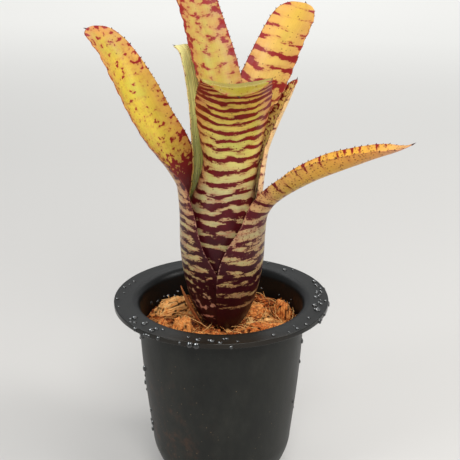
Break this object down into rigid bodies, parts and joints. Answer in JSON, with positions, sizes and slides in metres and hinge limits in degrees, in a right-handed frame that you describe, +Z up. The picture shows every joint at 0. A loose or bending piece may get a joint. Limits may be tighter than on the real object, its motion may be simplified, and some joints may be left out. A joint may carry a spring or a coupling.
{
  "type": "potted bromeliad",
  "caption": "Tank bromeliad with spotted and cross-banded strap leaves nested in a tube, growing in coconut husk chips in a round black plastic nursery pot with a wide flat rim.",
  "frame": {"origin": "middle of the pot's flat underside, on the pot's axis", "axes": "+Z up the plant; the picture looks along +Y, with +X to its right"},
  "size_m": [0.1417, 0.105, 0.2542],
  "materials": {
    "black_plastic": "matt charcoal black, faintly dusty",
    "coconut_husk": "rough, fibrous, dry",
    "leaf_skin": "leathery with a low sheen, yellow to pale green with maroon bands and spots",
    "dry_leaf": "dry, papery, matt brown",
    "stem_flesh": "dull pale green"
  },
  "bodies": {
    "root": {"basal_scale": "dry_leaf", "coir_medium": "coconut_husk", "husk_chip_01": "coconut_husk", "husk_chip_02": "coconut_husk", "husk_chip_03": "coconut_husk", "husk_chip_04": "coconut_husk", "husk_chip_05": "coconut_husk", "husk_chip_06": "coconut_husk", "husk_chip_07": "coconut_husk", "husk_chip_08": "coconut_husk", "husk_chip_09": "coconut_husk", "husk_chip_10": "coconut_husk", "husk_chip_11": "coconut_husk", "husk_chip_12": "coconut_husk", "husk_chip_13": "coconut_husk", "husk_chip_14": "coconut_husk", "husk_chip_15": "coconut_husk", "husk_chip_16": "coconut_husk", "husk_chip_17": "coconut_husk", "husk_chip_18": "coconut_husk", "husk_chip_19": "coconut_husk", "husk_chip_20": "coconut_husk", "husk_chip_21": "coconut_husk", "husk_chip_22": "coconut_husk", "husk_chip_23": "coconut_husk", "husk_chip_24": "coconut_husk", "husk_chip_25": "coconut_husk", "leaf_back_tall": "leaf_skin", "leaf_front": "leaf_skin", "leaf_left": "leaf_skin", "leaf_left_back": "leaf_skin", "leaf_right_back": "leaf_skin", "leaf_right_low": "leaf_skin", "leaf_right_tall": "leaf_skin", "leaf_young_centre": "leaf_skin", "pot": "black_plastic", "stem": "stem_flesh"}
  },
  "joints": []
}
